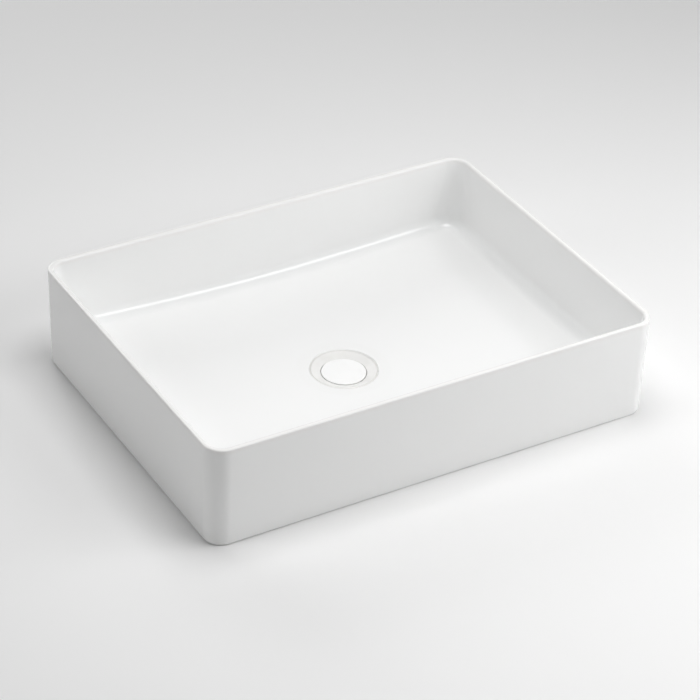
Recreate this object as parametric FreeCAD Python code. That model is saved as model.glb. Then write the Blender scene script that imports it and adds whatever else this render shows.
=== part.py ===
import FreeCAD, Part
import math
import os

# Countertop washbasin of glazed ceramic, with the push-to-close waste in its drain.
# Millimetres. The origin is the middle of the foot's plane, on the counter.
# X runs along the basin's length, Y to its back and Z up. The drain's axis is Z.

# Shared
overrun = 5.0                   # how far a cutting shape passes what it cuts
touch = 0.01                    # how near an edge lies to a plane that it is on
thread_clearance = 0.05         # between a male and a female thread, both plain here
hexagon_sides = 6

# Basin walls
basin_length = 480.0
basin_width = 358.0
basin_height = 107.0
corner_radius = 20.0            # upright outer corners, at the rim
outer_draft = 1.5               # lean of the outer wall from the rim down to the foot's plane
rim_thickness = 5.5
rim_outer_round = 1.5
rim_inner_round = 2.4
inner_draft = 5.5               # lean of the inner wall from the rim down to the foot's plane
inner_corner_growth = 18.0      # how much rounder the inner corners would be at the foot's plane

# Basin floor and foot
drain_lip_height = 17.0         # floor level at the edge of the drain recess
floor_fall_share = 0.065        # drop of the floor for each unit of way to the drain
floor_thickness = 9.0
floor_cove = 14.0
foot_width = 13.0
foot_outer_round = 3.5
foot_inner_round = 2.0
pocket_draft = 8.0              # lean of the foot's inner side, over the basin's height
pocket_corner_radius = 16.0
pocket_cove = 7.0

# Drain in the basin
recess_depth = 8.0
recess_round = 1.5
drain_lip_round = 1.2
drain_edge_round = 0.8
boss_wall = 3.0                 # ceramic round the recess, at the boss's lower edge
boss_height = 3.0               # underside of the drain boss above the foot's plane
boss_flare = 9.0                # how far the boss spreads on its way up to the floor
boss_round = 2.0
boss_cove = 6.0

# Plug: a white cap screwed on a body that carries the seal
cap_overlap = 2.3               # of the cap beyond the body
cap_thickness = 1.2             # at its edge
cap_dome = 0.5
cap_edge_round = 0.5
cap_depth = 2.9                 # edge of the closed cap below the top of the flange
cap_stud_radius = 4.0
cap_stud_length = 2.5
cap_stud_gap = 0.3              # under the stud, in the body
plug_height = 5.0               # of the body, without its boss
plug_edge_round = 0.25
plug_boss_radius = 5.5
plug_boss_length = 5.0
plug_boss_round = 0.5
plug_seal_section = 1.8
plug_seal_rise = 1.5            # middle of the seal above the underside of the body
plug_groove_clearance = 0.05
lift_travel = 8.0               # from closed to open
press_travel = 2.0              # from closed down to the point where the latch lets go

# Flange, cup, spigot and spider
flange_width = 11.1             # from the cup's outside to the flange's edge
flange_gap = 1.0                # around the flange, in the recess
flange_thickness = 6.2          # at its edge
flange_edge_round = 0.9
flange_seal_thickness = 1.5
flange_seal_width = 8.5
flange_seal_clearance = 0.05    # of the seal's rim, to the flange and to the recess
flange_seal_drop = 0.5          # top of the seal's rim below the top of the flange
dish_fall = 3.5                 # fall of the flange's top from its edge to the seat
dish_round = 0.5
seat_clearance = 0.6            # around the cap
seat_gap = 0.3                  # under the pressed cap
seat_wall = 1.6
seat_floor_thickness = 1.0
seat_round = 0.4
cup_clearance = 0.6             # between plug and cup
cup_seal_gap = 0.3              # between the plug's seal and the cup
cup_step = 0.945                # of the cup's outside beyond the waste body's thread
cup_wall = 1.3
cup_floor_gap = 0.6             # under the pressed plug
cup_floor_fall = 1.0
cup_floor_thickness = 2.0
cup_floor_round = 0.6
drain_hole_clearance = 0.6      # between cup and basin
spigot_wall = 2.4
spigot_length = 16.0
spigot_chamfer = 0.6
hub_wall = 3.0
hub_height = 6.0
arm_count = 3
arm_width = 3.0
arm_height = 5.0

# Waste body, its fastening and the tailpiece
body_thread_radius = 20.955     # 1 1/4 inch pipe thread, at its crests: the waste's nominal size
body_wall = 2.0                 # outside the spigot
body_lower_wall = 3.305         # outside the tailpiece's collar
body_chamfer = 0.8
body_land_width = 1.0
body_land_height = 8.0
body_land_gap = 1.0             # under the spigot
spigot_seal_thickness = 1.0
under_gasket_height = 6.0
under_gasket_width = 9.0
under_gasket_taper = 3.0
under_gasket_round = 0.8
under_gasket_clearance = 0.1
friction_washer_thickness = 2.0
friction_washer_width = 9.0
friction_washer_clearance = 0.25
lock_nut_wall = 6.0             # at its flats
lock_nut_height = 10.0
lock_nut_chamfer = 2.5
tail_wall = 1.2
tail_length = 50.0              # below the waste body
tail_collar_height = 12.0
tail_collar_step = 1.6          # of the collar's outside beyond the pipe's
tail_end_chamfer = 0.5
tail_seal_thickness = 2.0
tail_seal_clearance = 0.15

# Latch cartridge
collar_overhang = 1.5           # outside the housing, at its flats
collar_thickness = 3.0
collar_chamfer = 0.8
collar_gap = 0.6                # under the boss of the pressed plug
housing_radius = 7.0
housing_wall = 1.4
housing_roof = 2.5
cartridge_nut_wall = 2.45       # at its flats
cartridge_nut_height = 3.5
cartridge_nut_chamfer = 0.8
stem_radius = 3.0
stem_clearance = 0.2            # in the cartridge's roof
stem_engagement = 6.0           # length of stem inside the plug
stem_chamfer = 0.4
head_height = 6.0
slide_clearance = 0.3           # of head and ring in the housing's bore
stop_gap = 0.3                  # above the head of the open plug
cam_gap = 0.3                   # between the teeth of head and ring
cam_teeth = 8
cam_depth = 1.2
ring_height = 5.0
ring_bore = 1.6
ring_guide_gap = 0.85           # inside the spring
ring_guide_height = 3.0
spring_length = 15.0
spring_wire = 0.9
spring_side_gap = 0.95          # between the coil and the housing's bore
spring_turns = 6
spring_gap = 0.1                # at each end
end_cap_thickness = 4.0
end_cap_slot_width = 1.5
end_cap_slot_depth = 1.5

# Radii that one piece takes from another
cup_outer_radius = body_thread_radius + cup_step
cup_radius = cup_outer_radius - cup_wall
plug_radius = cup_radius - cup_clearance
cap_radius = plug_radius + cap_overlap
seat_radius = cap_radius + seat_clearance
seat_outer_radius = seat_radius + seat_wall
flange_radius = cup_outer_radius + flange_width
recess_radius = flange_radius + flange_gap
boss_radius = recess_radius + boss_wall
drain_hole_radius = cup_outer_radius + drain_hole_clearance
spigot_radius = body_thread_radius - body_wall - thread_clearance
spigot_bore = spigot_radius - spigot_wall
body_bore = spigot_radius + thread_clearance
body_lower_bore = body_thread_radius - body_lower_wall
tail_collar_radius = body_lower_bore - thread_clearance
tail_radius = tail_collar_radius - tail_collar_step
tail_bore = tail_radius - tail_wall
body_land_radius = tail_collar_radius - body_land_width
gasket_bore = cup_outer_radius + under_gasket_clearance
housing_bore = housing_radius - housing_wall
head_radius = housing_bore - slide_clearance
hub_bore = housing_radius + thread_clearance
hub_radius = hub_bore + hub_wall
spring_radius = housing_bore - spring_side_gap - spring_wire / 2
ring_guide_radius = spring_radius - spring_wire / 2 - ring_guide_gap

# Levels, from the basin's floor down through the waste
recess_level = drain_lip_height - recess_depth
flange_level = recess_level + flange_seal_thickness
flange_top = flange_level + flange_thickness
dish_low = flange_top - dish_fall
cap_top = flange_top - cap_depth
cap_low = cap_top - cap_thickness
stud_low = cap_low - cap_stud_length
plug_bottom = cap_low - plug_height
seat_level = cap_low - press_travel - seat_gap
seat_low = seat_level - seat_floor_thickness
cup_floor = plug_bottom - press_travel - cup_floor_gap
shoulder = cup_floor - cup_floor_thickness
spigot_end = shoulder - spigot_length
body_top = shoulder - spigot_seal_thickness
land_top = spigot_end - body_land_gap
land_low = land_top - body_land_height
tail_collar_top = land_low - tail_seal_thickness
body_end = tail_collar_top - tail_collar_height
gasket_low = boss_height - under_gasket_height
washer_low = gasket_low - friction_washer_thickness
nut_low = washer_low - lock_nut_height
collar_top = plug_bottom - plug_boss_length - press_travel - collar_gap
hub_top = collar_top - collar_thickness
hub_low = hub_top - hub_height
roof_level = collar_top - housing_roof
head_top = roof_level - lift_travel - stop_gap
head_low = head_top - head_height
ring_top = head_low - cam_gap
ring_low = ring_top - ring_height
end_cap_top = ring_low - spring_length
cartridge_end = end_cap_top - end_cap_thickness
tail_end = body_end - tail_length

axis = FreeCAD.Vector(0, 0, 1)
origin = FreeCAD.Vector(0, 0, 0)


def profile(corners):
    """Closed wire in the XZ plane through (radius, height) corners. A third number rounds the corner."""
    points = [FreeCAD.Vector(corner[0], 0, corner[1]) for corner in corners]
    rounds = [corner[2] if len(corner) > 2 else 0 for corner in corners]
    starts, middles, ends = [], [], []
    for i, point in enumerate(points):
        back = (points[i - 1] - point).normalize()
        ahead = (points[(i + 1) % len(points)] - point).normalize()
        half_angle = back.getAngle(ahead) / 2
        reach = rounds[i] / math.tan(half_angle)
        inward = (back + ahead).normalize() if rounds[i] else origin
        starts.append(point + back * reach)
        middles.append(point + inward * (rounds[i] / math.sin(half_angle) - rounds[i]))
        ends.append(point + ahead * reach)
    edges = []
    for i in range(len(points)):
        if rounds[i]:
            edges.append(Part.Arc(starts[i], middles[i], ends[i]).toShape())
        edges.append(Part.LineSegment(ends[i], starts[(i + 1) % len(points)]).toShape())
    return Part.Wire(edges)


def revolved(corners):
    """Solid of revolution about the drain's axis."""
    return Part.Face(profile(corners)).revolve(origin, axis, 360)


def tube(inner, outer, low, high):
    """Ring of rectangular section."""
    return revolved([(inner, low), (outer, low), (outer, high), (inner, high)])


def hexagon(flat_radius, low, high, chamfer):
    """Hexagon bar on the drain's axis, its corners turned off at both ends."""
    corner = flat_radius / math.cos(math.pi / hexagon_sides)
    turns = [2 * math.pi * i / hexagon_sides for i in range(hexagon_sides + 1)]
    points = [FreeCAD.Vector(corner * math.cos(turn), corner * math.sin(turn), low) for turn in turns]
    bar = Part.Face(Part.makePolygon(points)).extrude(axis * (high - low))
    slope = chamfer * math.tan(math.pi / hexagon_sides)
    turned = revolved([(0, low), (corner - chamfer, low), (corner, low + slope), (corner, high - slope),
                       (corner - chamfer, high), (0, high)])
    return bar.common(turned)


def hexagon_nut(bore, wall, low, high, chamfer):
    """Hexagon bar with a hole along the drain's axis."""
    hole = Part.makeCylinder(bore, high - low + 2 * overrun, axis * (low - overrun))
    return hexagon(bore + wall, low, high, chamfer).cut(hole)


def rounded_rectangle(inset, radius, level):
    """Outline of the basin in plan, moved in by the inset, with its own corner radius."""
    across = basin_length / 2 - inset
    along = basin_width / 2 - inset
    diagonal = radius * math.sqrt(0.5)
    edges = []
    last = FreeCAD.Vector(across, radius - along, level)
    for side_x, side_y in ((1, 1), (-1, 1), (-1, -1), (1, -1)):
        middle_x = side_x * (across - radius)
        middle_y = side_y * (along - radius)
        on_x = FreeCAD.Vector(side_x * across, middle_y, level)
        on_y = FreeCAD.Vector(middle_x, side_y * along, level)
        bend = FreeCAD.Vector(middle_x + side_x * diagonal, middle_y + side_y * diagonal, level)
        first, second = (on_x, on_y) if side_x * side_y > 0 else (on_y, on_x)
        edges.append(Part.LineSegment(last, first).toShape())
        edges.append(Part.Arc(first, bend, second).toShape())
        last = second
    return Part.Wire(edges)


def leaning_prism(rim, foot, low, high):
    """Solid between two levels with leaning sides.

    rim and foot are the (inset, corner radius) of its outline at the rim's plane and at the foot's plane.
    """
    wires = []
    for level in (low, high):
        up_share = level / basin_height
        inset = foot[0] + (rim[0] - foot[0]) * up_share
        radius = foot[1] + (rim[1] - foot[1]) * up_share
        wires.append(rounded_rectangle(inset, radius, level))
    return Part.makeLoft(wires, True, True)


def edges_at(shape, level):
    """Edges that lie in a level plane."""
    return [edge for edge in shape.Edges
            if abs(edge.BoundBox.ZMin - level) < touch and abs(edge.BoundBox.ZMax - level) < touch]


def inner_edges_at(shape, level):
    """Edges round the opening in the flat ring face at a level."""
    ring = [face for face in shape.Faces
            if face.BoundBox.ZLength < touch and abs(face.BoundBox.ZMin - level) < touch][0]
    return [edge for wire in ring.Wires if not wire.isSame(ring.OuterWire) for edge in wire.Edges]


def floor_edges(space):
    """Edges where a hollow's floor meets its sides: clear of the drain, the foot's plane and the rim."""
    clear_radius = boss_radius + boss_flare
    return [edge for edge in space.Edges
            if all(math.hypot(corner.X, corner.Y) > clear_radius for corner in edge.Vertexes)
            and edge.BoundBox.ZMin > 0 and edge.BoundBox.ZMax < basin_height]


def floor_level(radius):
    """Height of the basin's floor at a distance from the drain's axis."""
    return drain_lip_height + floor_fall_share * (radius - recess_radius)


def basin_hollow():
    """Space inside the basin, with the drain recess and the drain hole."""
    top = basin_height + overrun
    reach = basin_length
    rim_radius = corner_radius - rim_thickness
    sides = leaning_prism((rim_thickness, rim_radius),
                          (rim_thickness + inner_draft, rim_radius + inner_corner_growth), -overrun, top)
    middle = revolved([(0, -overrun), (drain_hole_radius, -overrun),
                       (drain_hole_radius, recess_level, drain_edge_round),
                       (recess_radius, recess_level, recess_round),
                       (recess_radius, drain_lip_height, drain_lip_round),
                       (reach, floor_level(reach)), (reach, top), (0, top)])
    space = sides.common(middle)
    return space.makeFillet(floor_cove, floor_edges(space))


def basin_pocket():
    """Space under the floor, inside the foot ring and around the drain boss."""
    reach = basin_length
    flare_radius = boss_radius + boss_flare
    inset = outer_draft + foot_width
    sides = leaning_prism((inset + pocket_draft, pocket_corner_radius - pocket_draft),
                          (inset, pocket_corner_radius), -overrun, basin_height)
    middle = revolved([(0, -overrun), (0, boss_height), (boss_radius, boss_height, boss_round),
                       (flare_radius, floor_level(flare_radius) - floor_thickness, boss_cove),
                       (reach, floor_level(reach) - floor_thickness), (reach, -overrun)])
    space = sides.common(middle)
    return space.makeFillet(pocket_cove, floor_edges(space))


def basin():
    """Ceramic basin: leaning outer walls, hollow, pocket under the floor, rounded rim and foot."""
    block = leaning_prism((0, corner_radius), (outer_draft, corner_radius - outer_draft), 0, basin_height)
    block = block.makeFillet(foot_outer_round, edges_at(block, 0))
    block = block.makeFillet(rim_outer_round, edges_at(block, basin_height))
    shell = block.cut(basin_hollow()).cut(basin_pocket())
    shell = shell.makeFillet(rim_inner_round, inner_edges_at(shell, basin_height))
    return shell.makeFillet(foot_inner_round, inner_edges_at(shell, 0))


def flange_seal():
    """White rubber ring in the recess, under the flange, with a rim that fills the gap round it."""
    outer = recess_radius - flange_seal_clearance
    inner = outer - flange_seal_width
    rim_inner = flange_radius + flange_seal_clearance
    rim_top = flange_top - flange_seal_drop
    return revolved([(inner, recess_level), (outer, recess_level, recess_round), (outer, rim_top),
                     (rim_inner, rim_top), (rim_inner, flange_level), (inner, flange_level)])


def waste_flange():
    """Dished flange, cap seat, plug cup and threaded spigot, with the spider's arms and hub inside."""
    turned = revolved([(flange_radius, flange_level), (flange_radius, flange_top, flange_edge_round),
                       (seat_radius, dish_low, dish_round), (seat_radius, seat_level),
                       (cup_radius, seat_level, seat_round), (cup_radius, cup_floor, cup_floor_round),
                       (spigot_bore, cup_floor - cup_floor_fall, cup_floor_round),
                       (spigot_bore, spigot_end), (spigot_radius - spigot_chamfer, spigot_end),
                       (spigot_radius, spigot_end + spigot_chamfer), (spigot_radius, shoulder),
                       (cup_outer_radius, shoulder), (cup_outer_radius, seat_low),
                       (seat_outer_radius, seat_low), (seat_outer_radius, flange_level)])
    spider = tube(hub_bore, hub_radius, hub_low, hub_top)
    arm_root = hub_bore + hub_wall / 2
    arm_tip = spigot_bore + spigot_wall / 2
    for i in range(arm_count):
        arm = Part.makeBox(arm_tip - arm_root, arm_width, arm_height,
                           FreeCAD.Vector(arm_root, -arm_width / 2, hub_low))
        arm.rotate(origin, axis, 360 * i / arm_count)
        spider = spider.fuse(arm)
    return turned.fuse(spider).removeSplitter()


def spigot_seal():
    """Ring between the shoulder under the cup and the top of the waste body."""
    return tube(body_bore, body_thread_radius, body_top, shoulder)


def waste_body():
    """Threaded tube from below: wide bore for the spigot, a land, and a bore for the tailpiece's collar."""
    return revolved([(body_bore, body_top), (body_thread_radius, body_top),
                     (body_thread_radius, body_end + body_chamfer),
                     (body_thread_radius - body_chamfer, body_end), (body_lower_bore, body_end),
                     (body_lower_bore, land_low), (body_land_radius, land_low),
                     (body_land_radius, land_top), (body_bore, land_top)])


def under_gasket():
    """Tapered rubber gasket against the basin's drain boss."""
    wide = gasket_bore + under_gasket_width
    return revolved([(gasket_bore, gasket_low), (wide - under_gasket_taper, gasket_low, under_gasket_round),
                     (wide, boss_height, under_gasket_round), (gasket_bore, boss_height)])


def friction_washer():
    """Slip washer that keeps the turning nut off the gasket."""
    bore = body_thread_radius + friction_washer_clearance
    return tube(bore, bore + friction_washer_width, washer_low, gasket_low)


def lock_nut():
    """Hexagon nut that pulls the waste down on the basin."""
    bore = body_thread_radius + thread_clearance
    return hexagon_nut(bore, lock_nut_wall, nut_low, washer_low, lock_nut_chamfer)


def tail_seal():
    """Flat ring squeezed between the tailpiece's collar and the land in the waste body."""
    return tube(tail_bore, tail_collar_radius - tail_seal_clearance, tail_collar_top, land_low)


def tailpiece():
    """Outlet pipe with the threaded collar that goes up into the waste body."""
    return revolved([(tail_bore, tail_end), (tail_radius - tail_end_chamfer, tail_end),
                     (tail_radius, tail_end + tail_end_chamfer), (tail_radius, body_end),
                     (tail_collar_radius, body_end), (tail_collar_radius, tail_collar_top),
                     (tail_bore, tail_collar_top)])


def plug_cap():
    """Slightly domed disc that covers the drain, with a threaded stud beneath."""
    dome_top = cap_top + cap_dome
    dome_sphere = (cap_radius ** 2 + cap_dome ** 2) / (2 * cap_dome)
    turned = revolved([(0, stud_low), (cap_stud_radius, stud_low), (cap_stud_radius, cap_low),
                       (cap_radius, cap_low), (cap_radius, dome_top), (0, dome_top)])
    capped = turned.common(Part.makeSphere(dome_sphere, axis * (dome_top - dome_sphere)))
    edge = [e for e in edges_at(capped, cap_top) if abs(e.BoundBox.XMax - cap_radius) < touch]
    return capped.makeFillet(cap_edge_round, edge)


def plug_body():
    """Body of the plug, with a seal groove, a threaded hole for the cap and a threaded boss for the stem."""
    groove_middle = plug_bottom + plug_seal_rise
    groove_half = plug_seal_section / 2 + plug_groove_clearance
    groove_floor = cup_radius - cup_seal_gap - plug_seal_section - plug_groove_clearance
    socket = stem_radius + thread_clearance
    boss_low = plug_bottom - plug_boss_length
    socket_top = boss_low + stem_engagement
    stud_hole = cap_stud_radius + thread_clearance
    stud_floor = stud_low - cap_stud_gap
    return revolved([(0, socket_top), (socket, socket_top), (socket, boss_low),
                     (plug_boss_radius, boss_low, plug_boss_round), (plug_boss_radius, plug_bottom),
                     (plug_radius, plug_bottom, plug_edge_round),
                     (plug_radius, groove_middle - groove_half),
                     (groove_floor, groove_middle - groove_half), (groove_floor, groove_middle + groove_half),
                     (plug_radius, groove_middle + groove_half), (plug_radius, cap_low), (stud_hole, cap_low),
                     (stud_hole, stud_floor), (0, stud_floor)])


def plug_seal():
    """O-ring in the plug's groove, just clear of the cup."""
    middle = cup_radius - cup_seal_gap - plug_seal_section / 2
    return Part.makeTorus(middle, plug_seal_section / 2, axis * (plug_bottom + plug_seal_rise))


def saw_teeth(outer, level, direction):
    """Ring of triangular cuts into a flat end at a level. Direction is 1 for an upper end, -1 for a lower."""
    half_width = math.pi * head_radius / cam_teeth / 2
    cuts = []
    for i in range(cam_teeth):
        corners = [FreeCAD.Vector(0, -half_width, level), FreeCAD.Vector(0, half_width, level),
                   FreeCAD.Vector(0, half_width, level - direction * cam_depth)]
        wedge = Part.Face(Part.makePolygon(corners + corners[:1])).extrude(FreeCAD.Vector(outer, 0, 0))
        wedge.rotate(origin, axis, 360 * i / cam_teeth)
        cuts.append(wedge)
    return cuts


def plunger():
    """Stem of the plug and the toothed head that pushes the ring round."""
    stem_top = plug_bottom - plug_boss_length + stem_engagement
    turned = revolved([(0, head_low), (head_radius, head_low), (head_radius, head_top), (stem_radius, head_top),
                       (stem_radius, stem_top - stem_chamfer), (stem_radius - stem_chamfer, stem_top),
                       (0, stem_top)])
    return turned.cut(saw_teeth(head_radius + overrun, head_low, -1))


def ratchet_ring():
    """Toothed ring under the head, with a guide for the spring."""
    guide_low = ring_low - ring_guide_height
    turned = revolved([(ring_bore, guide_low), (ring_guide_radius, guide_low), (ring_guide_radius, ring_low),
                       (head_radius, ring_low), (head_radius, ring_top), (ring_bore, ring_top)])
    return turned.cut(saw_teeth(head_radius + overrun, ring_top, 1))


def cartridge_housing():
    """Latch tube with a hexagon collar that rests on the spider's hub."""
    collar = hexagon(housing_radius + collar_overhang, hub_top, collar_top, collar_chamfer)
    barrel = revolved([(0, cartridge_end), (housing_radius, cartridge_end), (housing_radius, collar_top),
                       (0, collar_top)])
    stem_hole = stem_radius + stem_clearance
    bore = revolved([(0, cartridge_end - overrun), (housing_bore, cartridge_end - overrun),
                     (housing_bore, roof_level), (stem_hole, roof_level), (stem_hole, collar_top + overrun),
                     (0, collar_top + overrun)])
    return barrel.fuse(collar).cut(bore).removeSplitter()


def cartridge_nut():
    """Thin nut under the spider's hub."""
    low = hub_low - cartridge_nut_height
    return hexagon_nut(hub_bore, cartridge_nut_wall, low, hub_low, cartridge_nut_chamfer)


def cartridge_end_cap():
    """Screwed disc that closes the housing, with a slot for a screwdriver."""
    radius = housing_bore - thread_clearance
    disc = revolved([(0, cartridge_end), (radius, cartridge_end), (radius, end_cap_top), (0, end_cap_top)])
    slot = Part.makeBox(2 * housing_radius, end_cap_slot_width, end_cap_slot_depth + overrun,
                        FreeCAD.Vector(-housing_radius, -end_cap_slot_width / 2, cartridge_end - overrun))
    return disc.cut(slot)


def arc_from(start, handle, end):
    """Arc from start to end whose end tangents meet at the handle."""
    middle = (start + end) / 2
    half_chord = start.distanceToPoint(middle)
    cosine = half_chord / start.distanceToPoint(handle)
    radius = half_chord / math.sqrt(1 - cosine ** 2)
    rise = (handle - middle).normalize() * (radius * (1 - cosine))
    return Part.Arc(start, middle + rise, end).toShape()


def biarc(start, start_way, end, end_way):
    """Two arcs that join two points and keep the direction given at each."""
    gap = end - start
    spread = 2 * (1 - start_way.dot(end_way))
    along = gap.dot(start_way + end_way)
    handle = (math.sqrt(along ** 2 + spread * gap.dot(gap)) - along) / spread
    first = start + start_way * handle
    second = end - end_way * handle
    joint = (first + second) / 2
    return [arc_from(start, first, joint), arc_from(joint, second, end)]


def return_spring():
    """Coil spring between the ring and the end cap: biarcs of a quarter turn each, swept by the wire."""
    low = end_cap_top + spring_gap + spring_wire / 2
    high = ring_low - spring_gap - spring_wire / 2
    quarters_per_turn = 4
    quarters = spring_turns * quarters_per_turn
    places, ways = [], []
    climb = (high - low) / (2 * math.pi * spring_turns)
    for i in range(quarters + 1):
        turn = 2 * math.pi * i / quarters_per_turn
        level = low + (high - low) * i / quarters
        out_x = spring_radius * math.cos(turn)
        out_y = spring_radius * math.sin(turn)
        places.append(FreeCAD.Vector(out_x, out_y, level))
        ways.append(FreeCAD.Vector(-out_y, out_x, climb).normalize())
    edges = []
    for i in range(quarters):
        edges.extend(biarc(places[i], ways[i], places[i + 1], ways[i + 1]))
    wire_round = Part.Wire(Part.Circle(places[0], ways[0], spring_wire / 2).toShape())
    return Part.Wire(edges).makePipeShell([wire_round], True, False)


pieces = {
    "basin": basin,
    "flange_seal": flange_seal,
    "waste_flange": waste_flange,
    "spigot_seal": spigot_seal,
    "waste_body": waste_body,
    "under_gasket": under_gasket,
    "friction_washer": friction_washer,
    "lock_nut": lock_nut,
    "tail_seal": tail_seal,
    "tailpiece": tailpiece,
    "plug_cap": plug_cap,
    "plug_body": plug_body,
    "plug_seal": plug_seal,
    "plunger": plunger,
    "ratchet_ring": ratchet_ring,
    "cartridge_housing": cartridge_housing,
    "cartridge_nut": cartridge_nut,
    "cartridge_end_cap": cartridge_end_cap,
    "return_spring": return_spring,
}

os.makedirs("parts", exist_ok=True)
for name, make in pieces.items():
    shape = make()
    shape.exportStep("parts/" + name + ".step")
    box = shape.BoundBox
    print(name, "solids", len(shape.Solids), "valid", shape.isValid(), "volume", round(shape.Volume, 1),
          "z", round(box.ZMin, 2), round(box.ZMax, 2))
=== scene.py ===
import math

import bmesh
import bpy
import numpy as np
from mathutils import Matrix, Vector


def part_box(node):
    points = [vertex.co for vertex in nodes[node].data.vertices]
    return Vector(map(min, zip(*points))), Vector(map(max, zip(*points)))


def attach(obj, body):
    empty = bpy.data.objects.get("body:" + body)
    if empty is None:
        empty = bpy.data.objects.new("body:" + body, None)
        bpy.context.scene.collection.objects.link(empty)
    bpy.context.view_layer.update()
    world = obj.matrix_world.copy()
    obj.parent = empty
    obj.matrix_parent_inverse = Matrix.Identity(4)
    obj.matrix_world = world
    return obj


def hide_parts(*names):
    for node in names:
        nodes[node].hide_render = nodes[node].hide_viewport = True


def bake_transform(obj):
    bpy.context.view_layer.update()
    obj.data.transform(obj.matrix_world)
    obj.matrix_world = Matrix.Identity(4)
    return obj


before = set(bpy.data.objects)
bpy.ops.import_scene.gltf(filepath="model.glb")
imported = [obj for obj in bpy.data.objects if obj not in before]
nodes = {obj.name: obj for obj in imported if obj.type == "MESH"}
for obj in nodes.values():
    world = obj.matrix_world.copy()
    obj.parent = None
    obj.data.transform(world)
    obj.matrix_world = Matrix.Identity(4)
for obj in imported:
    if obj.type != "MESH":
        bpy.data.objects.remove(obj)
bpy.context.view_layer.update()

mm = 0.001  # pieces are worked out in millimetres and stored in metres
print("frame loaded:", len(nodes), "nodes")


# Grids and profiles that every new piece is made of

gridValues = {
    "turnColumns": 160,  # round a turned piece
    "arcSteps": 6,  # in a rounded edge
    "guard": 0.12,  # mm from a corner to the point beside it that keeps its shading off the flat
    "weld": 1e-7,  # m, points closer than this become one
}


def meshFromGrid(name, grid, closedRows=True, closedColumns=True, layers=None):
    # rows x columns of points in mm, where neighbouring points make quads
    # a closed way joins its last line to its first
    rows, columns = grid.shape[:2]
    index = np.arange(rows * columns).reshape(rows, columns)
    if closedRows:
        index = np.vstack((index, index[:1]))
    if closedColumns:
        index = np.hstack((index, index[:, :1]))
    corners = (index[:-1, :-1], index[:-1, 1:], index[1:, 1:], index[1:, :-1])
    quads = np.stack(corners, axis=-1).reshape(-1, 4)
    points = grid.reshape(-1, 3) * mm
    a, b, c, d = (points[quads[:, i]] for i in range(4))
    sixVolumes = (np.cross(b - a, c - a) * a).sum() + (np.cross(c - a, d - a) * a).sum()
    if sixVolumes < 0:
        quads = quads[:, ::-1]  # the grid ran the other way round, so the faces are turned outwards
    mesh = bpy.data.meshes.new(name)
    mesh.vertices.add(len(points))
    mesh.vertices.foreach_set("co", points.astype(np.float32).ravel())
    mesh.loops.add(quads.size)
    mesh.loops.foreach_set("vertex_index", quads.astype(np.int32).ravel())
    mesh.polygons.add(len(quads))
    mesh.polygons.foreach_set("loop_start", np.arange(0, quads.size, 4, dtype=np.int32))
    mesh.update(calc_edges=True)
    mesh.shade_smooth()
    for layer, values in (layers or {}).items():
        attribute = mesh.attributes.new(layer, "FLOAT", "POINT")
        spread = np.broadcast_to(values, (rows, columns))
        attribute.data.foreach_set("value", spread.astype(np.float32).ravel())
    mesh.validate()
    piece = bpy.data.objects.new(name, mesh)
    bpy.context.scene.collection.objects.link(piece)
    return piece


def nodeReach(node):
    # how far a CAD node on the drain's axis reaches, in mm: along x, along y, lowest level, highest level
    low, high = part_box(node)
    return high[0] / mm, high[1] / mm, low[2] / mm, high[2] / mm


def unit(vectors):
    # each vector over its own length
    return vectors / np.linalg.norm(vectors, axis=-1, keepdims=True)


def arcPoints(start, end, centre, shares):
    # points on the arc from start to end round the centre, at shares of its turn
    first, second = start - centre, end - centre
    cosine = (first * second).sum(-1) / (np.linalg.norm(first, axis=-1) * np.linalg.norm(second, axis=-1))
    turn = np.arccos(np.clip(cosine, -1, 1))[..., None]
    shares = shares.reshape(shares.shape + (1,) * first.ndim)
    return centre + (np.sin((1 - shares) * turn) * first + np.sin(shares * turn) * second) / np.sin(turn)


def roundedPath(corners, steps=gridValues["arcSteps"], guard=gridValues["guard"], closed=True):
    # path through (across, up) corners in mm, with a guard point each side of a corner
    # a third number rounds the corner with an arc that touches both runs
    points = np.array([corner[:2] for corner in corners], float)
    rounds = [corner[2] if len(corner) > 2 else 0 for corner in corners]
    parts = []
    for i, point in enumerate(points):
        if not closed and i in (0, len(points) - 1):
            parts.append(point[None])
            continue
        back = unit(points[i - 1] - point)
        ahead = unit(points[(i + 1) % len(points)] - point)
        half = math.acos(np.clip(back @ ahead, -1, 1)) / 2
        reach = rounds[i] / math.tan(half)
        arc = point[None]
        if rounds[i]:
            centre = point + unit(back + ahead) * rounds[i] / math.sin(half)
            shares = np.linspace(0, 1, steps + 1)
            arc = arcPoints(point + back * reach, point + ahead * reach, centre, shares)
        parts.append(np.vstack((point + back * (reach + guard), arc, point + ahead * (reach + guard))))
    return np.vstack(parts)


def fullTurn(columns):
    # even angles round a whole turn
    return np.linspace(0, 2 * math.pi, columns, endpoint=False)


def turnedGrid(radius, level, turns):
    # rows carried round the drain's axis: a radius and a level for each row, or for each row and turn
    return np.stack(np.broadcast_arrays(radius * np.cos(turns), radius * np.sin(turns), level), axis=-1)


def turnedPiece(name, path, **grid):
    # a path of (radius, level) points carried round the drain's axis
    turns = fullTurn(gridValues["turnColumns"])
    return meshFromGrid(name, turnedGrid(path[:, :1], path[:, 1:], turns), **grid)


def closePoles(piece):
    # points that meet on the axis become one
    mesh = piece.data
    work = bmesh.new()
    work.from_mesh(mesh)
    bmesh.ops.remove_doubles(work, verts=work.verts, dist=gridValues["weld"])
    bmesh.ops.dissolve_degenerate(work, edges=work.edges, dist=gridValues["weld"])
    work.to_mesh(mesh)
    work.free()
    mesh.shade_smooth()


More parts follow.
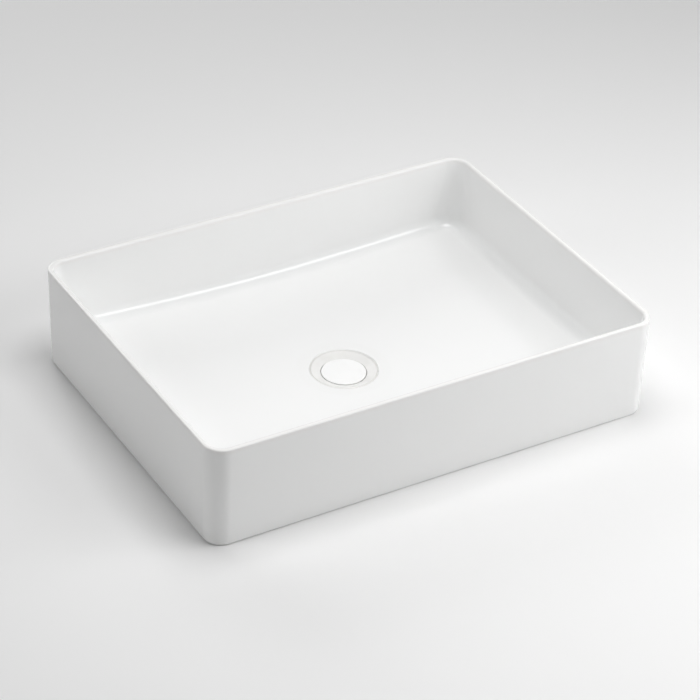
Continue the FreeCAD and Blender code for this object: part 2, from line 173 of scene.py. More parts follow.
def dress(piece, node, material):
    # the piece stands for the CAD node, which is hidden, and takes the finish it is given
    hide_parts(node)
    piece.data.materials.append(material)
    print("piece:", piece.name, len(piece.data.polygons), "faces")


def place(piece, body, node, material):
    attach(piece, body)
    dress(piece, node, material)


# Finishes: each noise below is a scale, a detail and a roughness, and each range runs from none to all

class Flow:
    # a socket of a node tree; sums on it add Math nodes, and node() adds any other node
    def __init__(self, tree, socket=None):
        self.tree = tree
        self.socket = socket

    def node(self, kind, settings=None, sockets=None, output=0):
        made = self.tree.nodes.new(kind)
        for key, value in (settings or {}).items():
            setattr(made, key, value)
        for key, value in (sockets or {}).items():
            if isinstance(value, Flow):
                self.tree.links.new(value.socket, made.inputs[key])
            else:
                made.inputs[key].default_value = value
        return Flow(self.tree, made.outputs[output] if made.outputs else None)

    def math(self, operation, first, second):
        return self.node("ShaderNodeMath", {"operation": operation}, {0: first, 1: second})

    def __add__(self, other):
        return self.math("ADD", self, other)

    def __sub__(self, other):
        return self.math("SUBTRACT", self, other)

    def __rsub__(self, other):
        return self.math("SUBTRACT", other, self)

    def __mul__(self, other):
        return self.math("MULTIPLY", self, other)

    __radd__ = __add__
    __rmul__ = __mul__

    def swing(self):
        # a noise lies about one half, and its swing about zero
        return self - 0.5

    def between(self, low, high):
        # 0 at low, 1 at high, with a soft start and end
        settings = {"interpolation_type": "SMOOTHSTEP"}
        return self.node("ShaderNodeMapRange", settings, {0: self, 1: low, 2: high})

    def mixed(self, first, second):
        # first colour where self is 0, second where it is 1
        # a Mix node's colours are its inputs 6 and 7 and its output 2
        return self.node("ShaderNodeMix", {"data_type": "RGBA"}, {0: self, 6: first, 7: second}, 2)

    def noise(self, scale, detail, roughness):
        sockets = {"Vector": self, "Scale": scale, "Detail": detail, "Roughness": roughness}
        return self.node("ShaderNodeTexNoise", None, sockets)

    def bump(self, distance, below=None):
        sockets = {"Height": self, "Distance": distance, "Strength": 1.0}
        if below:
            sockets["Normal"] = below
        return self.node("ShaderNodeBump", None, sockets)


def newFinish(name):
    material = bpy.data.materials.new(name)
    material.use_nodes = True
    material.node_tree.nodes.clear()
    start = Flow(material.node_tree)
    return material, start, start.node("ShaderNodeTexCoord", None, None, "Object")


def surface(start, **sockets):
    named = {key.replace("_", " "): value for key, value in sockets.items()}
    shader = start.node("ShaderNodeBsdfPrincipled", None, named)
    start.node("ShaderNodeOutputMaterial", None, {"Surface": shader})


def kindValues(values, kind):
    # what all kinds of a finish share, with what this kind adds
    return {**values, **values[kind]}


glazeValues = {
    "white": (0.93, 0.932, 0.928, 1),
    "pooled": (0.908, 0.918, 0.914, 1),  # thicker glaze in the hollows
    "thin": (0.92, 0.915, 0.905, 1),  # body showing through at the edges
    "bisque": (0.66, 0.61, 0.53, 1),  # bare foot
    "paleBisque": (0.74, 0.69, 0.61, 1),
    "speck": (0.62, 0.60, 0.55, 1),
    "cloud": (9.0, 3.0, 0.5),
    "edge": (160.0, 4.0, 0.5),
    "patches": (31.0, 2.0, 0.5),  # where specks lie
    "grain": (900.0, 3.0, 0.6),  # of the bare foot
    "smudge": (38.0, 4.0, 0.6),
    "waves": (26.0, 1.0, 0.5),
    "peel": (420.0, 2.0, 0.5),
    "bareRange": (0.42, 0.58),
    "speckRange": (0.010, 0.022),  # outwards from a speck's middle, so from all to none
    "patchRange": (0.56, 0.62),
    "grainRange": (0.3, 0.7),
    "smudgeRange": (0.45, 0.75),
    "bareWaver": 0.55,  # of the line where the glaze ends
    "poolShare": 0.8,
    "cloudShare": 0.5,
    "thinShare": 0.7,
    "thinWaver": 0.6,
    "speckScale": 55.0,
    "speckShare": 0.45,
    "roughness": 0.07,
    "smudgeRoughness": 0.05,  # this one and the next two are added to the roughness
    "thinRoughness": 0.05,
    "bareRoughness": 0.75,
    "waveDepth": 0.00010,
    "peelDepth": 0.0000035,
    "toothDepth": 0.00012,
    "refraction": 1.52,
}


def glazeFinish():
    v = glazeValues
    material, start, coords = newFinish("glaze")
    pool, thin, bare = (start.node("ShaderNodeAttribute", {"attribute_name": layer}, None, "Fac")
                        for layer in ("pool", "thin", "bare"))
    cloud = coords.noise(*v["cloud"])
    edge = coords.noise(*v["edge"])
    bareMask = (bare + edge.swing() * v["bareWaver"]).between(*v["bareRange"])
    cells = {"Vector": coords, "Scale": v["speckScale"]}
    specks = coords.node("ShaderNodeTexVoronoi", None, cells, "Distance")
    patches = coords.noise(*v["patches"]).between(*v["patchRange"])
    speckMask = (1 - specks.between(*v["speckRange"])) * patches
    poolMask = (pool * v["poolShare"] + cloud.swing() * v["cloudShare"]).between(0.0, 1.0)
    colour = poolMask.mixed(v["white"], v["pooled"])
    colour = (thin * (v["thinShare"] + edge * v["thinWaver"])).mixed(colour, v["thin"])
    colour = (speckMask * v["speckShare"]).mixed(colour, v["speck"])
    grain = coords.noise(*v["grain"])
    bisque = grain.between(*v["grainRange"]).mixed(v["bisque"], v["paleBisque"])
    colour = bareMask.mixed(colour, bisque)
    smudge = coords.noise(*v["smudge"]).between(*v["smudgeRange"])
    roughness = v["roughness"] + smudge * v["smudgeRoughness"]
    roughness = roughness + thin * v["thinRoughness"] + bareMask * v["bareRoughness"]
    waves = coords.noise(*v["waves"]).bump(v["waveDepth"])
    peel = coords.noise(*v["peel"]).bump(v["peelDepth"], waves)
    tooth = (grain * bareMask).bump(v["toothDepth"], peel)
    surface(start, Base_Color=colour, Roughness=roughness, Normal=tooth, IOR=v["refraction"])
    return material


enamelValues = {
    "capEnamel": {"white": (0.975, 0.975, 0.97, 1), "worn": (0.95, 0.948, 0.94, 1), "roughness": 0.14},
    "flangeEnamel": {"white": (0.885, 0.88, 0.866, 1), "worn": (0.85, 0.843, 0.823, 1), "roughness": 0.30},
    "cloud": (60.0, 4.0, 0.6),
    "peel": (700.0, 2.0, 0.5),
    "wornRange": (0.45, 0.8),
    "cloudRoughness": 0.08,
    "peelRoughness": 0.03,
    "peelDepth": 0.000004,
}


def enamelFinish(kind):
    v = kindValues(enamelValues, kind)
    material, start, coords = newFinish(kind)
    cloud = coords.noise(*v["cloud"])
    peel = coords.noise(*v["peel"])
    colour = cloud.between(*v["wornRange"]).mixed(v["white"], v["worn"])
    roughness = v["roughness"] + cloud * v["cloudRoughness"] + peel * v["peelRoughness"]
    surface(start, Base_Color=colour, Roughness=roughness, Normal=peel.bump(v["peelDepth"]))
    return material


metalValues = {
    "brass": {"bright": (0.66, 0.47, 0.20, 1), "dull": (0.46, 0.32, 0.15, 1), "roughness": 0.24,
              "lines": (2600.0, 3.0, 0.7)},
    "chrome": {"bright": (0.78, 0.79, 0.80, 1), "dull": (0.66, 0.67, 0.69, 1), "roughness": 0.06,
               "lines": (900.0, 3.0, 0.7)},
    "steel": {"bright": (0.62, 0.62, 0.61, 1), "dull": (0.44, 0.44, 0.44, 1), "roughness": 0.27,
              "lines": (3200.0, 3.0, 0.7)},
    "stain": (75.0, 5.0, 0.62),
    "stainRange": (0.48, 0.78),
    "stainShare": 0.8,
    "lineShare": 0.15,
    "stainRoughness": 0.14,
    "lineRoughness": 0.10,
    "lineDepth": 0.000012,
}


def latheLines(coords, scale, detail, roughness):
    # fine uneven lines round the drain's axis, from a noise that only the level changes
    level = coords.node("ShaderNodeSeparateXYZ", None, {0: coords}, "Z")
    sockets = {"W": level, "Scale": scale, "Detail": detail, "Roughness": roughness}
    return level.node("ShaderNodeTexNoise", {"noise_dimensions": "1D"}, sockets)


def metalFinish(kind):
    v = kindValues(metalValues, kind)
    material, start, coords = newFinish(kind)
    lines = latheLines(coords, *v["lines"])
    stain = coords.noise(*v["stain"])
    dullMask = stain.between(*v["stainRange"]) * v["stainShare"] + lines * v["lineShare"]
    colour = dullMask.mixed(v["bright"], v["dull"])
    roughness = v["roughness"] + stain * v["stainRoughness"] + lines.swing() * v["lineRoughness"]
    surface(start, Base_Color=colour, Roughness=roughness, Metallic=1.0, Normal=lines.bump(v["lineDepth"]))
    return material


mouldedValues = {
    "rubber": {"dark": (0.030, 0.030, 0.031, 1), "pale": (0.062, 0.061, 0.060, 1), "roughness": 0.58,
               "grain": (1400.0, 3.0, 0.6)},
    "whiteRubber": {"dark": (0.80, 0.79, 0.77, 1), "pale": (0.86, 0.855, 0.84, 1), "roughness": 0.50,
                    "grain": (1200.0, 3.0, 0.6)},
    "slipPlastic": {"dark": (0.60, 0.60, 0.57, 1), "pale": (0.72, 0.72, 0.69, 1), "roughness": 0.38,
                    "grain": (800.0, 3.0, 0.6)},
    "bloom": (120.0, 4.0, 0.6),
    "bloomRange": (0.4, 0.75),
    "bloomShare": 0.7,
    "grainShare": 0.3,
    "bloomRoughness": 0.2,
    "grainRoughness": 0.06,
    "grainDepth": 0.00002,
}


def mouldedFinish(kind):
    v = kindValues(mouldedValues, kind)
    material, start, coords = newFinish(kind)
    grain = coords.noise(*v["grain"])
    bloom = coords.noise(*v["bloom"])
    paleMask = bloom.between(*v["bloomRange"]) * v["bloomShare"] + grain * v["grainShare"]
    colour = paleMask.mixed(v["dark"], v["pale"])
    roughness = v["roughness"] + bloom.swing() * v["bloomRoughness"] + grain * v["grainRoughness"]
    surface(start, Base_Color=colour, Roughness=roughness, Normal=grain.bump(v["grainDepth"]))
    return material


glaze = glazeFinish()
capEnamel = enamelFinish("capEnamel")
flangeEnamel = enamelFinish("flangeEnamel")
brass = metalFinish("brass")
chrome = metalFinish("chrome")
steel = metalFinish("steel")
rubber = mouldedFinish("rubber")
whiteRubber = mouldedFinish("whiteRubber")
slipPlastic = mouldedFinish("slipPlastic")
print("finishes made")


# Basin: one closed skin, from the drain hole over floor, wall and rim
# and down the outside to the foot and back under the floor

basinValues = {
    "cornerRadius": 20.0,
    "outerDraft": 1.5,
    "rimThickness": 5.5,
    "rimOuterRound": 1.5,
    "rimInnerRound": 2.4,
    "innerDraft": 5.5,
    "innerCornerGrowth": 18.0,
    "lipHeight": 17.0,
    "floorFall": 0.065,
    "floorThickness": 9.0,
    "floorCove": 14.0,
    "footWidth": 13.0,
    "footOuterRound": 3.5,
    "footInnerRound": 2.0,
    "pocketDraft": 8.0,
    "pocketCorner": 16.0,
    "pocketCove": 7.0,
    "recessRadius": 34.0,
    "recessDepth": 8.0,
    "recessRound": 1.5,
    "lipRound": 1.2,
    "holeRadius": 22.5,
    "holeRound": 0.8,
    "bossRadius": 37.0,
    "bossHeight": 3.0,
    "bossFlare": 9.0,
    "bossRound": 2.0,
    "bossCove": 6.0,
    "edgeRun": 2.0,  # straight runs kept beside the rounded edges
    "rimRun": 6.0,
    "footRun": 6.0,
    "bareHeight": 0.5,  # glaze ends this far above the counter
    "cornerSteps": 26,
    "longSteps": 44,
    "shortSteps": 32,
    "coveSteps": 16,
    "pocketCoveSteps": 8,
    "edgeSteps": 8,
    "covePasses": 12,  # to find where wall and floor meet
    # rows of a plain stretch, as shares of the way along it
    "manyRows": (0.004, 0.03, 0.1, 0.22, 0.36, 0.5, 0.64, 0.78, 0.9, 0.97, 0.996),
    "fewRows": (0.02, 0.15, 0.35, 0.6, 0.85, 0.98),
    "drainPool": 0.35,  # how far the glaze is pooled
    "floorPool": 0.1,
    "coveEdgePool": 0.25,
    "coveMorePool": 0.5,  # added in the middle of the cove
    "pocketCovePool": 0.3,
    "lipThin": 0.25,  # how far the glaze is thin
    "undersideThin": 0.3,
    "pocketCoveThin": 0.2,
}


def basinColumns(v):
    # columns run round a rounded rectangle: each has a plan normal
    # and a sign that says where its corner centre lies
    turns = np.linspace(0, math.pi / 2, v["cornerSteps"] + 1)
    signs = np.array([(1, 1), (-1, 1), (-1, -1), (1, -1)], float)
    centres, normals = [], []
    for i, (sign, nextSign) in enumerate(zip(signs, np.roll(signs, -1, axis=0))):
        start = i * math.pi / 2
        centres.append(np.repeat(sign[None], len(turns), axis=0))
        normals.append(np.stack((np.cos(start + turns), np.sin(start + turns)), axis=-1))
        steps = v["longSteps"] if i % 2 == 0 else v["shortSteps"]
        # along a side they stand closer together near the corners
        shares = 0.5 - 0.5 * np.cos(np.linspace(0, math.pi, steps + 1)[1:-1])
        side = start + math.pi / 2
        centres.append(sign + (nextSign - sign) * shares[:, None])
        normals.append(np.repeat([[math.cos(side), math.sin(side)]], len(shares), axis=0))
    return np.vstack(centres), np.vstack(normals)


def basinSkin():
    v = basinValues
    low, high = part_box("basin")
    length, width, height = (high - low) / mm
    centres, normals = basinColumns(v)
    columns = len(normals)
    # columns of the round parts, set off so that each is near its fellow on the rectangle
    evenTurns = 2 * math.pi * (np.arange(columns) + v["shortSteps"] / 2) / columns
    rimCorner = v["cornerRadius"] - v["rimThickness"]
    cornerGain = v["innerCornerGrowth"] + v["innerDraft"]

    def floorLevel(radius):
        # a cone that rises evenly with the way from the drain
        return v["lipHeight"] + v["floorFall"] * (radius - v["recessRadius"])

    def outlined(inset, radius, level):
        # rounded rectangle moved in by the inset
        # each point is its column's corner centre plus the column's normal times the radius
        x = centres[:, 0] * (length / 2 - inset - radius) + radius * normals[:, 0]
        y = centres[:, 1] * (width / 2 - inset - radius) + radius * normals[:, 1]
        return np.stack(np.broadcast_arrays(x, y, level), axis=-1)

    def circled(path):
        return turnedGrid(path[:, :1], path[:, 1:], evenTurns)

    def innerWall(level):
        down = 1 - level / height
        inset = v["rimThickness"] + v["innerDraft"] * down
        return outlined(inset, rimCorner + v["innerCornerGrowth"] * down, level)

    def outerWall(level):
        inset = v["outerDraft"] * (1 - level / height)
        return outlined(inset, v["cornerRadius"] - inset, level)

    def pocketWall(level):
        lean = v["pocketDraft"] * level / height
        return outlined(v["outerDraft"] + v["footWidth"] + lean, v["pocketCorner"] - lean, level)

    def coved(wall, way, drop, ball, steps):
        # a ball rolled along the line where wall and floor meet leaves one arc in each column
        # it runs from the wall, which goes up or down from there by the sign of way, to the floor
        level = np.full(columns, v["lipHeight"] - drop)
        for _ in range(v["covePasses"]):
            foot = wall(level)
            level = floorLevel(np.hypot(foot[:, 0], foot[:, 1])) - drop
        along = unit(wall(level + way) - foot)
        fall = v["floorFall"] * (unit(foot[:, :2]) * normals).sum(-1)
        inward = unit(np.concatenate((-normals, -fall[:, None]), axis=-1))
        half = np.arccos((along * inward).sum(-1, keepdims=True)) / 2
        run = ball / np.tan(half)
        centre = foot + unit(along + inward) * ball / np.sin(half)
        return arcPoints(foot + along * run, foot + inward * run, centre, np.linspace(0, 1, steps + 1))

    def fallen(ring, radius, shares, drop):
        # floor between a ring and a circle: plan angle and reach slide from one to the other
        # and the cone gives the height
        angle = np.arctan2(ring[:, 1], ring[:, 0])
        angle = evenTurns + (angle - evenTurns + math.pi) % (2 * math.pi) - math.pi
        far = np.hypot(ring[:, 0], ring[:, 1])
        ease = shares * shares * (3 - 2 * shares)
        turn = angle + (evenTurns - angle) * ease
        reach = far + (radius - far) * shares
        return np.stack((reach * np.cos(turn), reach * np.sin(turn), floorLevel(reach) - drop), axis=-1)

    def stretch(start, end, shares, wall):
        # rows on a wall, at shares of the way from one level to another in each column
        return wall(start + (end - start) * shares)

    many = np.array(v["manyRows"])[:, None]
    few = np.array(v["fewRows"])[:, None]
    recessLevel = v["lipHeight"] - v["recessDepth"]
    flareRadius = v["bossRadius"] + v["bossFlare"]

    drain = roundedPath([
        (v["holeRadius"], v["bossHeight"] + v["edgeRun"]),
        (v["holeRadius"], recessLevel, v["holeRound"]),
        (v["recessRadius"], recessLevel, v["recessRound"]),
        (v["recessRadius"], v["lipHeight"], v["lipRound"]),
        (flareRadius, floorLevel(flareRadius)),
    ], closed=False)
    cove = coved(innerWall, way=1.0, drop=0, ball=v["floorCove"], steps=v["coveSteps"])

    rimDown = height - v["rimRun"]
    rim = roundedPath([
        (v["rimThickness"] + v["innerDraft"] * v["rimRun"] / height, rimDown),
        (v["rimThickness"], height, v["rimInnerRound"]),
        (0, height, v["rimOuterRound"]),
        (v["outerDraft"] * v["rimRun"] / height, rimDown),
    ], v["edgeSteps"], closed=False)
    rimInset, rimLevel = rim[:, :1], rim[:, 1:]
    innerSide = rimInset > v["rimThickness"] / 2
    rimRadius = v["cornerRadius"] - rimInset + innerSide * cornerGain * (1 - rimLevel / height)

    footIn = v["outerDraft"] + v["footWidth"]
    foot = roundedPath([
        (v["outerDraft"] * (1 - v["footRun"] / height), v["footRun"]),
        (v["outerDraft"], 0, v["footOuterRound"]),
        (footIn, 0, v["footInnerRound"]),
        (footIn + v["pocketDraft"] * v["footRun"] / height, v["footRun"]),
    ], v["edgeSteps"], closed=False)
    footInset, footLevel = foot[:, :1], foot[:, 1:]
    outerSide = v["cornerRadius"] - footInset
    pocketSide = v["pocketCorner"] + (footIn - footInset)
    # across the foot's flat the corner radius slides from the outer wall's to the pocket's
    flatWidth = v["footWidth"] - v["footOuterRound"] - v["footInnerRound"]
    across = np.clip((footInset - v["outerDraft"] - v["footOuterRound"]) / flatWidth, 0, 1)
    footRadius = outerSide + (pocketSide - outerSide) * across

    pocketCove = coved(pocketWall, way=-1.0, drop=v["floorThickness"], ball=v["pocketCove"],
                       steps=v["pocketCoveSteps"])
    bossStart = flareRadius + 2 * v["bossCove"]
    boss = roundedPath([
        (bossStart, floorLevel(bossStart) - v["floorThickness"]),
        (flareRadius, floorLevel(flareRadius) - v["floorThickness"], v["bossCove"]),
        (v["bossRadius"], v["bossHeight"], v["bossRound"]),
        (v["holeRadius"], v["bossHeight"], v["holeRound"] / 2),
        (v["holeRadius"], v["bossHeight"] + 2 * v["holeRound"]),
    ], closed=False)

    # each part with its glaze: pooled in the hollows, thin on the edges, none under the foot
    covePool = v["coveEdgePool"] + v["coveMorePool"] * np.sin(np.linspace(0, math.pi, len(cove)))[::-1, None]
    lipThin = v["lipThin"] * (np.abs(drain[:, 1:] - v["lipHeight"]) < v["lipRound"])
    underThin = v["undersideThin"]
    parts = [
        (circled(drain), v["drainPool"], lipThin, 0),
        (fallen(cove[-1], flareRadius, many, 0)[::-1], v["floorPool"], 0, 0),
        (cove[::-1], covePool, 0, 0),
        (stretch(cove[0, :, 2], rimDown, many, innerWall), 0, 0, 0),
        (outlined(rimInset, rimRadius, rimLevel), 0, rimLevel > height - v["rimInnerRound"], 0),
        (stretch(rimDown, v["footRun"], many, outerWall), 0, 0, 0),
        (outlined(footInset, footRadius, footLevel), 0, 0, 1 - footLevel / v["bareHeight"]),
        (stretch(v["footRun"], pocketCove[0, :, 2], few, pocketWall), 0, underThin, 0),
        (pocketCove, v["pocketCovePool"], v["pocketCoveThin"], 0),
        (fallen(pocketCove[-1], bossStart, few, v["floorThickness"]), 0, underThin, 0),
        (circled(boss), 0, underThin, 0),
    ]
    grid = np.concatenate([rows for rows, _, _, _ in parts])
    layers = {name: np.concatenate([np.broadcast_to(part[i], (len(part[0]), 1)) for part in parts])
              for i, name in ((1, "pool"), (2, "thin"), (3, "bare"))}
    return meshFromGrid("basinSkin", grid, layers=layers)


place(basinSkin(), "basin", "basin", glaze)


# Plug's cap: the white disc in the drain, with a stud beneath

capValues = {
    "dome": 0.5,
    "edgeRound": 0.5,
    "underside": 12.6,
    "studRadius": 4.0,
    "domeSteps": 24,
    "guard": 0.03,
}


def plugCap():
    v = capValues
    radius, _, studEnd, top = nodeReach("plug_cap")
    # dome: part of a large sphere, so it falls nearly with the square of the way from the middle
    sphere = (radius ** 2 + v["dome"] ** 2) / (2 * v["dome"])
    across = np.linspace(0, radius - 2 * v["edgeRound"], v["domeSteps"])
    dome = np.stack((across, top - sphere + np.sqrt(sphere ** 2 - across ** 2)), axis=-1)
    rest = roundedPath([
        dome[-1],
        (radius, top - v["dome"], v["edgeRound"]),
        (radius, v["underside"], v["edgeRound"] / 2),
        (v["studRadius"], v["underside"]),
        (v["studRadius"], studEnd, v["edgeRound"] / 2),
        (0, studEnd),
    ], guard=v["guard"], closed=False)
    piece = turnedPiece("plugCap", np.vstack((dome, rest[1:])), closedRows=False)
    closePoles(piece)
    return piece


place(plugCap(), "plug", "plug_cap", capEnamel)


# Waste under the basin: threaded body, its nut and the outlet pipe

threadValues = {
    "pitch": 2.309,
    "depth": 1.45,
    "sharpness": 0.96,
    "clearance": 0.05,  # in the nut
    "rowsPerTurn": 14,
    "columns": 132,
}
crestRadius, _, bodyEnd, bodyTop = nodeReach("waste_body")


def threadRadius(turns, levels):
    # rounded triangle wave, the arcsine of a sine that stops short of 1
    # it climbs by the pitch in each turn
    v = threadValues
    swing = v["sharpness"] * np.sin(2 * math.pi * levels / v["pitch"] - turns)
    wave = np.arcsin(swing) / math.asin(v["sharpness"])
    return crestRadius - v["depth"] * (0.5 - 0.5 * wave)


def threadLevels(low, high):
    # even rows, so many in each turn of the thread
    rows = round((high - low) / threadValues["pitch"] * threadValues["rowsPerTurn"])
    return np.linspace(low, high, rows + 1)[:, None]


bodyValues = {
    "chamfer": 0.8,
    "bore": 18.955,
    "landTop": -14.0,
    "landLow": -22.0,
    "landRadius": 16.6,
    "lowerBore": 17.65,
    "lip": 0.15,  # width of the flat beside the end's edges
}


def wasteBody():
    v = bodyValues
    turns = fullTurn(threadValues["columns"])
    levels = threadLevels(bodyEnd, bodyTop)
    # the end's chamfer cuts the crests off: the smaller of thread and cone stands
    cone = crestRadius - v["chamfer"] + np.minimum(levels - bodyEnd, bodyTop - levels)
    outside = np.minimum(threadRadius(turns, levels), cone)
    inside = roundedPath([
        (v["bore"] + v["lip"], bodyTop),
        (v["bore"], bodyTop),
        (v["bore"], v["landTop"]),
        (v["landRadius"], v["landTop"]),
        (v["landRadius"], v["landLow"]),
        (v["lowerBore"], v["landLow"]),
        (v["lowerBore"], bodyEnd),
        (v["lowerBore"] + v["lip"], bodyEnd),
    ], guard=v["lip"] / 2, closed=False)
    boreRows = np.repeat(inside[:, :1], len(turns), axis=1)
    radius = np.vstack((boreRows, outside[:1] - v["lip"], outside, outside[-1:] - v["lip"]))
    level = np.vstack((inside[:, 1:], levels[:1], levels, levels[-1:]))
    return meshFromGrid("wasteBody", turnedGrid(radius, level, turns))


nutValues = {
    "sides": 6,
    "chamfer": 2.5,
    "boreChamfer": 1.2,
    "edge": 0.2,
    "sideColumns": 19,
    "sideShare": 0.94,  # how far those reach from the middle of a side to its corner
    "cornerShare": 0.985,  # where the columns stand that keep the corner crisp
}


def lockNut():
    v = nutValues
    _, halfWidth, low, high = nodeReach("lock_nut")
    half = math.pi / v["sides"]
    # columns of one side from corner to corner; the next side brings the last corner
    inner = np.linspace(-v["sideShare"], v["sideShare"], v["sideColumns"])
    side = half * np.concatenate(([-1, -v["cornerShare"]], inner, [v["cornerShare"]]))
    turns = np.concatenate([side + half * (2 * i + 1) for i in range(v["sides"])])
    flat = halfWidth / np.cos(np.tile(side, v["sides"]))
    corner = halfWidth / math.cos(half)
    # corners turned off by a cone: the end face stops at a circle, or at the flat where that is nearer
    face = np.minimum(corner - v["chamfer"], flat)
    rise = np.maximum(flat - face, 0) * math.tan(half) + v["edge"]
    levels = threadLevels(low, high)
    cone = crestRadius + v["boreChamfer"] - np.minimum(levels - low, high - levels)
    bore = np.maximum(threadRadius(turns, levels) + threadValues["clearance"], cone)
    rings = [
        (bore[0] + v["edge"], low),
        (face - 2 * v["edge"], low),
        (face - v["edge"], low),
        (flat, low + rise),
        (flat, low + rise + v["edge"]),
        (flat, high - rise - v["edge"]),
        (flat, high - rise),
        (face - v["edge"], high),
        (face - 2 * v["edge"], high),
        (bore[-1] + v["edge"], high),
    ]
    radius = np.vstack([ring for ring, _ in rings] + [bore[::-1]])
    level = np.vstack([np.broadcast_to(height, turns.shape) for _, height in rings]
                      + [np.broadcast_to(levels[::-1], bore.shape)])
    return meshFromGrid("lockNut", turnedGrid(radius, level, turns))


pipeValues = {
    "bore": 14.8,
    "radius": 16.0,
    "collarEnd": -36.0,
    "endRound": 0.55,
    "edgeRound": 0.3,
}


def outletPipe():
    # section of a tube with a thicker collar, carried round the drain's axis
    v = pipeValues
    collarRadius, _, end, top = nodeReach("tailpiece")
    return turnedPiece("outletPipe", roundedPath([
        (v["bore"], end, v["endRound"]),
        (v["radius"], end, v["endRound"]),
        (v["radius"], v["collarEnd"], v["edgeRound"]),
        (collarRadius, v["collarEnd"], v["edgeRound"]),
        (collarRadius, top, v["edgeRound"]),
        (v["bore"], top, v["edgeRound"]),
    ]))


gasketValues = {
    "bore": 22.0,
    "wide": 31.0,
    "narrow": 28.0,
    "edgeRound": 0.8,
    "boreRound": 0.3,
}


def underGasket():
    # section with a straight bore and a side that leans out upwards, carried round the drain's axis
    v = gasketValues
    _, _, low, top = nodeReach("under_gasket")
    return turnedPiece("underGasket", roundedPath([
        (v["bore"], low, v["boreRound"]),
        (v["narrow"], low, v["edgeRound"]),
        (v["wide"], top, v["edgeRound"]),
        (v["bore"], top, v["boreRound"]),
    ]))


place(wasteBody(), "basin", "waste_body", brass)
place(lockNut(), "basin", "lock_nut", brass)
place(outletPipe(), "basin", "tailpiece", chrome)
place(underGasket(), "basin", "under_gasket", rubber)


# Return spring: a wire coil whose foot sits on the cartridge's end cap and whose top meets the plug

springValues = {
    "wire": 0.9,
    "turns": 6,
    "endPitch": 1.0,  # closed turns at both ends
    "closedTurns": 0.8,
    "easeTurns": 0.6,  # from the closed turns to the open ones
    "stepsPerTurn": 36,
    "sides": 14,
    "endShare": 0.85,  # ring inside the edge of the wire's end faces
}


def springCoil(low, high):
    v = springValues
    radius = (high[0] - low[0]) / (2 * mm) - v["wire"] / 2
    bottom, top = low[2] / mm + v["wire"] / 2, high[2] / mm - v["wire"] / 2
    turns = np.linspace(0, v["turns"], v["turns"] * v["stepsPerTurn"] + 1)
    # level: running sum of the pitch, which is small in the end turns and wide between them
    opened = np.clip((np.minimum(turns, v["turns"] - turns) - v["closedTurns"]) / v["easeTurns"], 0, 1)
    opened = np.cumsum(opened * opened * (3 - 2 * opened))
    openRise = top - bottom - v["endPitch"] * v["turns"]
    level = bottom + v["endPitch"] * turns + openRise * opened / opened[-1]
    angle = 2 * math.pi * turns
    line = np.stack((radius * np.cos(angle), radius * np.sin(angle), level), axis=-1)
    along = unit(np.gradient(line, axis=0))
    out = np.stack((np.cos(angle), np.sin(angle), np.zeros_like(angle)), axis=-1)
    over = np.cross(along, out)
    # wire: a circle carried along the line, drawn in to a point at each end
    around = fullTurn(v["sides"])[:, None]
    drawnIn = np.array([0, v["endShare"]])
    share = np.concatenate((drawnIn, np.ones(len(turns)), drawnIn[::-1]))
    rows = np.clip(np.arange(len(share)) - len(drawnIn), 0, len(turns) - 1)
    circle = np.cos(around) * out[rows, None] + np.sin(around) * over[rows, None]
    grid = line[rows, None] + v["wire"] / 2 * share[:, None, None] * circle
    piece = meshFromGrid("springCoil", grid, closedRows=False)
    closePoles(piece)
    return piece


springLow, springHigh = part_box("return_spring")
spring = springCoil(springLow, springHigh)
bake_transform(spring)
dress(spring, "return_spring", steel)


# CAD nodes that keep their shape

kept = {
    "waste_flange": flangeEnamel,
    "flange_seal": whiteRubber,
    "spigot_seal": rubber,
    "friction_washer": slipPlastic,
    "tail_seal": rubber,
    "plug_body": slipPlastic,
    "plug_seal": rubber,
    "plunger": steel,
    "cartridge_housing": brass,
    "cartridge_nut": brass,
    "ratchet_ring": slipPlastic,
    "cartridge_end_cap": brass,
}
for name, finish in kept.items():
    nodes[name].data.materials.clear()
    nodes[name].data.materials.append(finish)
print("kept nodes:", len(kept))


# Floor, light and camera, in metres and degrees

stageValues = {
    "floorColour": (0.93, 0.93, 0.928, 1),
    "floorRoughness": 0.6,
    "floorRadius": 9.0,
    "floorHole": 0.06,  # cut-out for the waste, hidden under the basin
    "floorColumns": 96,
    "aim": 0.05,  # height that the lights point at
    "world": (1.0, 1.0, 1.0, 1),
    "worldStrength": 0.08,
}
lightValues = {
    # place, width, height and power of each softbox
    "overhead": ((0, -0.1, 1.15), 0.6, 0.6, 5.7),
    "right": ((1.25, -0.6, 0.5), 0.6, 0.6, 3.6),
    "key": ((0.65, -0.875, 0.91), 1.0, 0.5, 6.9),  # makes the bright line at the back of the basin's floor
    "back": ((0, 3.45, 1.78), 1.8, 1.8, 32.0),
    "left": ((-3.2, 0.8, 1.78), 1.8, 1.8, 23.0),
    "mirrored": ((1.45, 2.35, 1.9), 2.2, 2.2, 12.5),  # the basin's floor mirrors it to the camera
}
viewValues = {
    "azimuth": -31.36,
    "elevation": 33.72,
    "roll": 2.37,
    "distance": 2.67764,
    "aside": 0.00661,
    "above": 0.03247,
    "focalPixels": 2721.82,
    "imagePixels": 700,
    "sensor": 36.0,  # mm
    "clipEnd": 60.0,
}


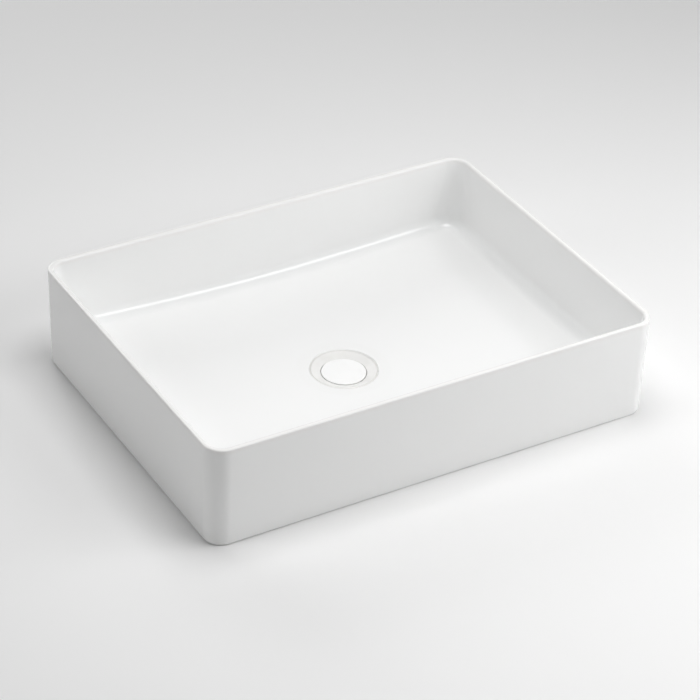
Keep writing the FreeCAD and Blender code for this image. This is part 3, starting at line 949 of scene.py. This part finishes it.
def paleFloor():
    # flat ring from the cut-out to the far edge
    v = stageValues
    material, start, _ = newFinish("paleFloor")
    surface(start, Base_Color=v["floorColour"], Roughness=v["floorRoughness"])
    reach = np.array([v["floorRadius"], v["floorHole"]])[:, None] / mm
    floor = meshFromGrid("counter", turnedGrid(reach, 0.0, fullTurn(v["floorColumns"])), closedRows=False)
    floor.data.materials.append(material)


def softLights():
    target = Vector((0, 0, stageValues["aim"]))
    for name, (spot, width, height, power) in lightValues.items():
        data = bpy.data.lights.new(name, "AREA")
        data.shape, data.energy = "RECTANGLE", power
        data.size, data.size_y = width, height
        lamp = bpy.data.objects.new(name, data)
        lamp.location = spot
        lamp.rotation_euler = (target - Vector(spot)).to_track_quat("-Z", "Y").to_euler()
        bpy.context.scene.collection.objects.link(lamp)
    world = bpy.data.worlds.new("studio")
    world.use_nodes = True
    bpy.context.scene.world = world
    backdrop = world.node_tree.nodes["Background"]
    backdrop.inputs["Color"].default_value = stageValues["world"]
    backdrop.inputs["Strength"].default_value = stageValues["worldStrength"]


def photoCamera():
    # the camera stands back from the origin at the view's angles, moved aside and up in its own plane
    v = viewValues
    turn, lift, roll = (math.radians(v[key]) for key in ("azimuth", "elevation", "roll"))
    back = Vector((math.sin(turn) * math.cos(lift), -math.cos(turn) * math.cos(lift), math.sin(lift)))
    level = Vector((math.cos(turn), math.sin(turn), 0))
    upright = back.cross(level)
    right = level * math.cos(roll) + upright * math.sin(roll)
    up = upright * math.cos(roll) - level * math.sin(roll)
    data = bpy.data.cameras.new("photoView")
    data.sensor_width = v["sensor"]
    data.lens = v["focalPixels"] * v["sensor"] / v["imagePixels"]
    data.clip_end = v["clipEnd"]
    camera = bpy.data.objects.new("photoView", data)
    spot = right * v["aside"] + up * v["above"] + back * v["distance"]
    camera.matrix_world = Matrix.Translation(spot) @ Matrix((right, up, back)).transposed().to_4x4()
    bpy.context.scene.collection.objects.link(camera)
    bpy.context.scene.camera = camera


paleFloor()
softLights()
photoCamera()
bpy.context.scene.view_settings.view_transform = "Standard"
print("stage, light and camera set")
